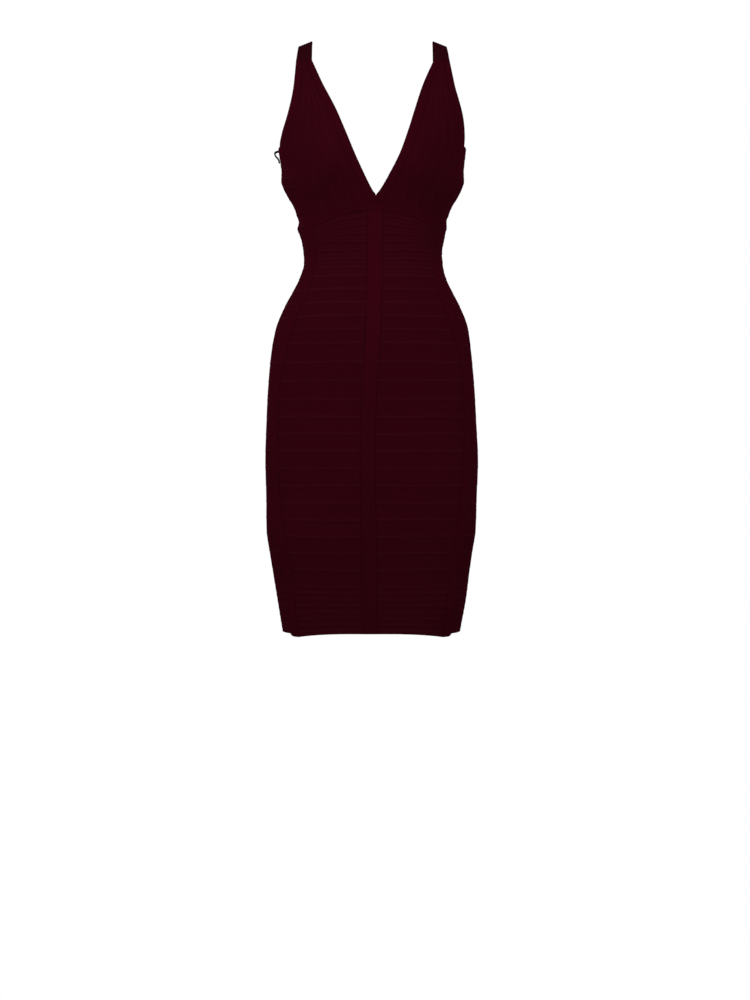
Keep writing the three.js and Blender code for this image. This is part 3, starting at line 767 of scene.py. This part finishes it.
def centre_front_band(material):
    share = shares("centre_front_band")
    level = along_stops(FRONT_EDGES[0], HEM, LONG_STEP)

    def angle_of(at):
        return angle_at(lean(at) + CENTRE_HALF * (2 * share - 1), at)

    fall = fade(FRONT_EDGES[0] - level, FALL_FADES)
    at = seam_level(level, angle_of, fall) + hem_shift(level, 0)
    rise = ribbed_relief("centre_front_band", share * 2 * CENTRE_HALF)
    relief = {"rise": rise, "ridge": PAINTED_SHEEN["centre"] * smooth(level, *PAINTED_SHEEN["centre_fades"])}
    sew_on_form("centre_front_band", angle_of(at), at, relief, material)


def neckline_band(side, material):
    share = shares("neckline_band")
    drop = drops("neckline_band")

    def angle_of(at):
        return angle_at(neckline_x(side, at, share), at)

    foot = seam_level(UNDERBUST["top"] + SEAM_GAP, angle_of)
    level = mix(STRAP_JOINT - SEAM_GAP, foot, drop)
    rise = ribbed_relief("neckline_band", share * value_at(NECKLINE, "band", level))
    relief = {"rise": rise, "ridge": PAINTED_SHEEN["neckline"]}
    name = sided("neckline_band", side)
    sew_on_form(name, angle_of(level), level, relief, material)


def cup_panel(side, material):
    border = np.array(BORDER_STOPS) / CUP_WIDTH
    stops = np.concatenate([(band + CUP_STOPS) / CUP_BANDS for band in range(CUP_BANDS)])
    share = np.unique(np.concatenate([border, stops[stops > border[-1]], 1 - border]))[None, :]
    drop = drops("cup")

    def angle_of(at, place=share):
        start = angle_at(neckline_x(side, at, 1) + side * SEAM_GAP, at)
        return mix(start, contour_inner(side, at), place)

    foot = seam_level(UNDERBUST["top"] + SEAM_GAP, angle_of)
    level = mix(STRAP_JOINT - SEAM_GAP, foot, drop)
    slant = CUP_SLANT * 4 * share * (1 - share) * drop**3
    angle = angle_of(level, share - slant)
    left, right, _, _ = border_distances(form_point(angle, level))
    tall = (left + right) / CUP_BANDS
    rise, ridge, groove = band_relief((share * CUP_BANDS) % 1 * tall, tall)
    narrow = smooth(tall, *CUP_NARROW)
    relief = {"rise": rise * narrow, "ridge": CUP_RIDGE * ridge * narrow, "groove": groove * narrow}
    name = sided("cup", side)
    sew_on_form(name, angle, level, relief, material)


def underbust_band(material):
    share = shares("underbust_band")
    drop = drops("underbust_band")

    def angle_of(at):
        return mix(contour_inner(-1, at), contour_inner(1, at), share)

    level = seam_level(mix(UNDERBUST["top"], UNDERBUST["bottom"], drop), angle_of)
    below = drop * ROWS["underbust_band"][0]
    painted_highlight = PAINTED_SHEEN["underbust"] * bump(below - UNDERBUST_LINE["below"], UNDERBUST_LINE["width"])
    relief = {"rise": ribbed_relief("underbust_band", below), "ridge": painted_highlight}
    sew_on_form("underbust_band", angle_of(level), level, relief, material)


def strap_point(side, along, across):
    """Place on a strap: across runs from its neck edge to its outer edge. Along it, -1 is the seam
    with the cup, 0 the top of the shoulder, 1 the same height on the back, 2 the back panel."""
    arch, down = np.clip(along, -1, 1), np.maximum(0, along - 1)
    shift = STRAP_APART * np.maximum(0, arch) - STRAP_IN * down
    inner = value_at(NECKLINE, "half", STRAP_JOINT) + shift
    outer = mix(STRAP_OUTER_TOP, STRAP_OUTER, arch**2) + shift
    x = mix(inner, outer, across)
    level = STRAP_JOINT + (STRAP_FOOT - STRAP_JOINT) * down
    front, back = angle_at(side * x, level), angle_at(side * x, level, "back")
    y = form_point(np.where(along < 0, front, back), level)[..., 1]
    slope = SHOULDER_SLOPE * (x - inner) * (1 - arch**2)
    height = np.where(down > 0, level, STRAP_JOINT * arch**2 - slope)
    return np.stack([side * x + lean(STRAP_JOINT) * fade(along + 1, 2), y * np.abs(arch), height], -1)


def strap(side, material):
    across = shares("strap")
    arch = stops_across(*ROWS["strap"])
    back = np.linspace(0, 1, STRAP_BACK["rows"])[1:]
    end = 1 - np.array(BORDER_STOPS[::-1]) / STRAP_BACK["length"]
    along = np.concatenate([2 * arch[: -len(BORDER_STOPS)] - 1, [1], 1 + back[:-1], 1 + end])
    base = strap_point(side, np.unique(along)[:, None], across)
    relief = {"rise": ribbed_relief("strap", across * COLUMNS["strap"][0])}
    sew(sided("strap", side), base, relief, material)


# Zip


def zip_tape(material):
    level = along_stops(BACK_TOP - BACK_DIP - SEAM_GAP, ZIP_FOOT + SEAM_GAP, TAPE_STEP)
    x = TAPE["half"] * (2 * shares("zip_tape") - 1)
    base = form_point(angle_at(x, level, "back"), level)
    tucked = smooth(np.abs(x), ZIP["half"] - TAPE["tucks"], ZIP["half"])
    sunk = mix(TAPE["recess"], TAPE["tucked"], tucked)
    relief = {"lift": -sunk, "wall": TAPE["depth"], "roll": TAPE["roll"]}
    sew("zip_tape", base, relief, material)


def back_frame(level):
    """Places down the middle of the back, with the directions out of and up the cloth there."""
    place = form_point(angle_at(0, level, "back"), level)
    ahead = form_point(angle_at(0, level + 1, "back"), level + 1)
    up = ahead - place
    up /= np.linalg.norm(up, axis=1, keepdims=True)
    out = np.cross(np.array([[1.0, 0, 0]]), up)
    out *= np.sign(out[:, 1:2])
    return place, out, up


def repeat_shape(name, points, faces, places, axes):
    """Copies of one small shape, joined as one mesh. axes are the x, y and z directions of each."""
    corners = np.asarray(points, float)
    copies = np.einsum("ka,nab->nkb", corners, axes) + places[:, None, :]
    count = len(corners)
    every = [[vertex + copy * count for vertex in face] for copy in range(len(places)) for face in faces]
    return add_mesh(name, copies.reshape(-1, 3), every)


def small_shape(make, bevel):
    """Points and faces of a primitive whose edges are bevelled in edit mode."""
    bpy.ops.object.select_all(action="DESELECT")
    make()
    shape = bpy.context.object
    bpy.ops.object.mode_set(mode="EDIT")
    bpy.ops.mesh.select_all(action="SELECT")
    bpy.ops.mesh.bevel(offset=bevel, segments=2, affect="EDGES")
    bpy.ops.mesh.normals_make_consistent(inside=False)
    bpy.ops.object.mode_set(mode="OBJECT")
    points = [tuple(vertex.co) for vertex in shape.data.vertices]
    faces = [tuple(face.vertices) for face in shape.data.polygons]
    bpy.data.objects.remove(shape)
    return points, faces


def zip_teeth(material):
    points, faces = small_shape(lambda: bpy.ops.mesh.primitive_cube_add(size=1), METAL_EDGE)
    points = np.array(points) * (TOOTH["wide"], TOOTH["proud"], TOOTH["tall"])
    low, high = ZIP_END + CHAIN["above_end"], SLIDER_LEVEL - CHAIN["below_slider"]
    count = int((high - low) / TOOTH["pitch"])
    places, axes = [], []
    for side, offset in ((-1, 0.75), (1, 0.25)):
        place, out, up = back_frame(high - TOOTH["pitch"] * (np.arange(count) + offset))
        across = np.tile([[1.0, 0, 0]], (count, 1))
        aside = side * (TOOTH["wide"] / 2 - TOOTH["head"])
        places.append(place + across * aside + out * TOOTH["out"])
        axes.append(np.stack([across, out, up], 1))
    teeth = repeat_shape("zip_teeth", points, faces, np.concatenate(places), np.concatenate(axes))
    fit(teeth, material)


def polished_copy(node, name, body, material):
    """A copy of a metal node with its edges rounded, in the node's place."""
    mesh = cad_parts[node].data.copy()
    shape = bmesh.new()
    shape.from_mesh(mesh)
    bmesh.ops.remove_doubles(shape, verts=shape.verts, dist=1e-6)
    bmesh.ops.dissolve_limit(shape, angle_limit=math.radians(2), verts=shape.verts, edges=shape.edges)
    shape.to_mesh(mesh)
    shape.free()
    mesh.materials.clear()
    piece = bpy.data.objects.new(name, mesh)
    bpy.context.scene.collection.objects.link(piece)
    rounding = piece.modifiers.new("rounding", "BEVEL")
    rounding.width = METAL_EDGE * MM
    rounding.segments = 2
    rounding.limit_method = "ANGLE"
    rounding.angle_limit = math.radians(40)
    finish_modifiers(piece)
    fit(piece, material, node, body)


def finish_modifiers(piece):
    bpy.ops.object.select_all(action="DESELECT")
    bpy.context.view_layer.objects.active = piece
    piece.select_set(True)
    for modifier in list(piece.modifiers):
        bpy.ops.object.modifier_apply(modifier=modifier.name)
    bpy.ops.object.shade_smooth_by_angle(angle=math.radians(35))
    piece.select_set(False)


# Hanger loop


def loop_route():
    """Route of the loop: inside the side panel, over the edge of the armhole, down outside, round
    its end, and back the same way."""
    turn = np.linspace(0, math.pi, LOOP_ARCH["knots"])
    arch = np.stack([
        LOOP_ARCH["out"] - LOOP_ARCH["reach"] * np.cos(turn),
        LOOP_ARCH["down"] + LOOP_ARCH["rise"] * np.sin(turn),
    ], 1)
    strand = np.array([*LOOP_INSIDE, *arch, *LOOP_OUTSIDE, LOOP_FOOT])
    round_end = np.radians([45, 90, 135])
    lowest = LOOP_FOOT[1] - LOOP["apart"] * np.sin(round_end)
    beneath = np.stack([np.full(len(round_end), LOOP_FOOT[0]), lowest], 1)
    out, down = np.concatenate([strand, beneath, strand[::-1]]).T
    beside = np.concatenate([-np.ones(len(strand)), -np.cos(round_end), np.ones(len(strand))])
    angle = -math.pi * LOOP["turn"]
    shift = np.stack([-out, LOOP["apart"] * beside, 0 * out], 1)
    return smooth_line(form_point(angle, top_edge(angle) + down) + shift, LOOP["points"])


def smooth_line(knots, count, fine_steps=24):
    """Evenly spaced points of a centripetal curve through the knots."""
    ends = np.concatenate([[2 * knots[0] - knots[1]], knots, [2 * knots[-1] - knots[-2]]])
    fine = []
    for a, b, c, d in zip(ends, ends[1:], ends[2:], ends[3:]):
        t1 = np.linalg.norm(b - a) ** 0.5
        t2 = t1 + np.linalg.norm(c - b) ** 0.5
        t3 = t2 + np.linalg.norm(d - c) ** 0.5
        t = np.linspace(t1, t2, fine_steps, endpoint=False)[:, None]
        ab, bc, cd = mix(a, b, t / t1), mix(b, c, (t - t1) / (t2 - t1)), mix(c, d, (t - t2) / (t3 - t2))
        before, after = mix(ab, bc, t / t2), mix(bc, cd, (t - t1) / (t3 - t1))
        fine.append(mix(before, after, (t - t1) / (t2 - t1)))
    line = np.concatenate([*fine, knots[-1:]])
    length = np.concatenate([[0], np.cumsum(np.linalg.norm(np.diff(line, axis=0), axis=1))])
    even = np.linspace(0, length[-1], count)
    return np.stack([np.interp(even, length, line[:, axis]) for axis in range(3)], 1)


def cord_rings(route, turn):
    """Rings of points round a route, without twist."""
    along = np.gradient(route, axis=0)
    along /= np.linalg.norm(along, axis=1, keepdims=True)
    side = np.array([0.0, 1, 0])
    rings = []
    for place, forward in zip(route, along):
        side = side - forward * (side @ forward)
        side /= np.linalg.norm(side)
        other = np.cross(forward, side)
        ring = np.cos(turn)[:, None] * side + np.sin(turn)[:, None] * other
        rings.append(place + LOOP["radius"] * ring)
    return np.concatenate(rings)


def cord_faces(count, sides):
    """Faces between the rings of a cord, and one over each of its ends."""
    faces = []
    for ring in range(0, (count - 1) * sides, sides):
        for corner in range(sides):
            after = (corner + 1) % sides
            faces.append((ring + corner, ring + after, ring + sides + after, ring + sides + corner))
    return [*faces, tuple(range(sides))[::-1], tuple(range((count - 1) * sides, count * sides))]


def hanger_loop(material):
    route = loop_route()
    count, sides = LOOP["points"], LOOP["sides"]
    turn = 2 * math.pi * np.arange(sides) / sides
    length = np.linalg.norm(np.diff(route, axis=0), axis=1).sum()
    around = np.tile(turn * LOOP["radius"], count)
    uv = np.stack([around, np.repeat(np.linspace(0, length, count), sides)], 1)
    cord = add_mesh("hanger_loop_cord", cord_rings(route, turn), cord_faces(count, sides), uv)
    fit(cord, material, "hanger_loop")


# Materials


def set_inputs(tree, node, inputs):
    """Gives a node's inputs, by name or number, their values or links."""
    for name, value in inputs.items():
        if isinstance(value, bpy.types.NodeSocket):
            tree.links.new(value, node.inputs[name])
        else:
            node.inputs[name].default_value = value


def add_node(tree, kind, inputs=None, **settings):
    made = tree.nodes.new(kind)
    for name, value in settings.items():
        setattr(made, name, value)
    set_inputs(tree, made, inputs or {})
    return made


def maths(tree, operation, first, second=0.0):
    return add_node(tree, "ShaderNodeMath", {0: first, 1: second}, operation=operation).outputs[0]


def new_group(name, inputs, outputs):
    """An empty shader group with named inputs, as (kind, default), and named outputs."""
    group = bpy.data.node_groups.new(name, "ShaderNodeTree")
    for socket, (kind, default) in inputs.items():
        made = group.interface.new_socket(socket, in_out="INPUT", socket_type=f"NodeSocket{kind}")
        if default is not None:
            made.default_value = default
    for socket, kind in outputs.items():
        group.interface.new_socket(socket, in_out="OUTPUT", socket_type=f"NodeSocket{kind}")
    return group, group.nodes.new("NodeGroupInput"), group.nodes.new("NodeGroupOutput")


def knit_stitch_group():
    """Rows of small V stitches, from the UV map in metres."""
    width, height = KNIT_STITCH
    group, given, out = new_group(
        "knit stitches",
        {"Stitch width": ("Float", width), "Stitch height": ("Float", height)},
        {"Height": "Float"},
    )
    uv = add_node(group, "ShaderNodeUVMap", uv_map="cloth").outputs[0]
    place = add_node(group, "ShaderNodeSeparateXYZ", {0: uv})
    across = maths(group, "DIVIDE", place.outputs[0], given.outputs["Stitch width"])
    down = maths(group, "DIVIDE", place.outputs[1], given.outputs["Stitch height"])
    off_middle = maths(group, "ABSOLUTE", maths(group, "SUBTRACT", maths(group, "FRACT", across), 0.5))
    slanted = maths(group, "FRACT", maths(group, "ADD", down, off_middle))
    loop = maths(group, "SINE", maths(group, "MULTIPLY", slanted, math.pi))
    wale = maths(group, "SINE", maths(group, "MULTIPLY", maths(group, "FRACT", across), math.pi))
    stitch = maths(group, "MULTIPLY", maths(group, "POWER", wale, 0.5), maths(group, "ADD", loop, 1.0))
    group.links.new(stitch, out.inputs["Height"])
    return group


def band_tone_group():
    """Colour of the cloth: a painted highlight on the ridge at the edge of a band, and painted shade in
    the groove below and along the seams.
    """
    inputs = {tone: ("Color", None) for tone in TONES} | {"Patchiness": ("Float", 0.15)}
    group, given, out = new_group("band tones", inputs, {"Colour": "Color"})
    ridge = add_node(group, "ShaderNodeAttribute", attribute_name="ridge").outputs["Fac"]
    groove = add_node(group, "ShaderNodeAttribute", attribute_name="groove").outputs["Fac"]
    spot = add_node(group, "ShaderNodeTexCoord").outputs["Object"]
    cloud = add_node(group, "ShaderNodeTexNoise", {"Vector": spot, "Scale": 14.0, "Detail": 3.0})
    # Painted highlight on the ridges, then painted shade in the grooves and along the seams
    light = mixed(group, ridge, given.outputs["Cloth"], given.outputs["Painted highlight"])
    painted_shade = mixed(group, groove, light, given.outputs["Painted shade"])
    uneven = maths(group, "SUBTRACT", cloud.outputs["Fac"], 0.5)
    lift = maths(group, "MULTIPLY", uneven, given.outputs["Patchiness"])
    value = maths(group, "ADD", lift, 1.0)
    toned = add_node(group, "ShaderNodeHueSaturation", {"Value": value, "Color": painted_shade}).outputs[0]
    group.links.new(toned, out.inputs["Colour"])
    return group


def mixed(tree, share, first, second):
    """Colour between two others."""
    inputs = {0: share, 6: first, 7: second}  # 6 and 7 are the colours of this node
    return add_node(tree, "ShaderNodeMix", inputs, data_type="RGBA").outputs[2]


def new_material(name):
    material = bpy.data.materials.new(name)
    material.use_nodes = True
    return material, material.node_tree, material.node_tree.nodes["Principled BSDF"]


def knit(name, colours, stitches, tones):
    """Matt knit, with a faint sheen at the sides."""
    material, tree, shader = new_material(name)
    given = {socket: (*colour, 1) for socket, colour in zip(TONES, colours)}
    tone = add_node(tree, "ShaderNodeGroup", given, node_tree=tones)
    height = add_node(tree, "ShaderNodeGroup", node_tree=stitches).outputs["Height"]
    relief = add_node(tree, "ShaderNodeBump", {"Height": height, **KNIT_RELIEF})
    set_inputs(tree, shader, {
        "Base Color": tone.outputs["Colour"],
        "Normal": relief.outputs["Normal"],
        "Roughness": 0.85,
        "Specular IOR Level": 0.0,
        "Sheen Weight": 0.02,
        "Sheen Roughness": 0.4,
        "Sheen Tint": SHEEN,
    })
    return material


def plain_cloth(name, colour, stitches, stitch):
    """Smooth woven or braided cloth of one colour."""
    material, tree, shader = new_material(name)
    size = dict(zip(("Stitch width", "Stitch height"), stitch))
    height = add_node(tree, "ShaderNodeGroup", size, node_tree=stitches).outputs["Height"]
    relief = add_node(tree, "ShaderNodeBump", {"Height": height, **PLAIN_RELIEF})
    set_inputs(tree, shader, {
        "Base Color": (*colour, 1),
        "Normal": relief.outputs["Normal"],
        "Roughness": 0.75,
        "Specular IOR Level": 0.03,
    })
    return material


def metal(name, colour):
    """Polished metal, with a fine uneven shine."""
    material, tree, shader = new_material(name)
    spot = add_node(tree, "ShaderNodeTexCoord").outputs["Object"]
    fine = add_node(tree, "ShaderNodeTexNoise", {"Vector": spot, "Scale": 900.0, "Detail": 2.0})
    shine = {"Value": fine.outputs["Fac"], "To Min": 0.22, "To Max": 0.42}
    rough = add_node(tree, "ShaderNodeMapRange", shine).outputs[0]
    set_inputs(tree, shader, {"Base Color": (*colour, 1), "Roughness": rough, "Metallic": 1.0})
    return material


# Studio


def studio():
    """A white background, with lamps in front, at the sides and behind."""
    scene = bpy.context.scene
    scene.view_settings.view_transform = "Standard"
    world = bpy.data.worlds.new("white studio")
    world.use_nodes = True
    tree = world.node_tree
    seen = add_node(tree, "ShaderNodeLightPath").outputs["Is Camera Ray"]
    level = add_node(tree, "ShaderNodeMapRange", {"Value": seen, "To Min": WORLD_LIGHT, "To Max": 1.0})
    set_inputs(tree, tree.nodes["Background"], {"Color": (1, 1, 1, 1), "Strength": level.outputs[0]})
    scene.world = world
    for name, (place, size, power) in LAMPS.items():
        lamp = bpy.data.lights.new(name, "AREA")
        lamp.size = size
        lamp.energy = power
        light = bpy.data.objects.new(name, lamp)
        light.location = place
        aim = np.subtract(LAMPS_AIM, place)
        tilt = math.atan2(math.hypot(aim[0], aim[1]), -aim[2])
        light.rotation_euler = (tilt, 0, math.atan2(-aim[0], aim[1]))
        scene.collection.objects.link(light)


def camera():
    """The photograph's view: level, 3 m in front, and two thirds of the way down the dress."""
    lens = bpy.data.cameras.new("camera")
    lens.lens = CAMERA["lens"]
    lens.shift_y = CAMERA["shift_y"]
    eye = bpy.data.objects.new("camera", lens)
    eye.location = CAMERA["place"]
    eye.rotation_euler = (math.radians(90), 0, 0)
    bpy.context.scene.collection.objects.link(eye)
    bpy.context.scene.camera = eye


def build():
    camera()
    studio()
    stitches, tones = knit_stitch_group(), band_tone_group()
    panel = knit("wine knit", WINE, stitches, tones)
    band = knit("wine knit with painted sheen", PAINTED_SHEEN_WINE, stitches, tones)
    # The straps' darker knit is painted shade
    shoulder = knit("shaded shoulder knit", SHADED_STRAP_WINE, stitches, tones)
    tape = plain_cloth("zip tape cloth", TAPE_WINE, stitches, TAPE_STITCH)
    satin = plain_cloth("black satin cord", BLACK, stitches, CORD_STITCH)
    nickel = metal("dark nickel", NICKEL)
    hanger_loop(satin)
    for side in (-1, 1):
        strap(side, shoulder)
        neckline_band(side, band)
        cup_panel(side, panel)
        front_panel(side, panel)
        contour_band(side, band)
        side_panel(side, panel)
        back_panel(side, panel)
    underbust_band(band)
    centre_front_band(band)
    zip_tape(tape)
    zip_teeth(nickel)
    polished_copy("zip_slider", "zip_slider_polished", "dress", nickel)
    polished_copy("zip_pull", "zip_pull_polished", "zip_pull", nickel)


build()
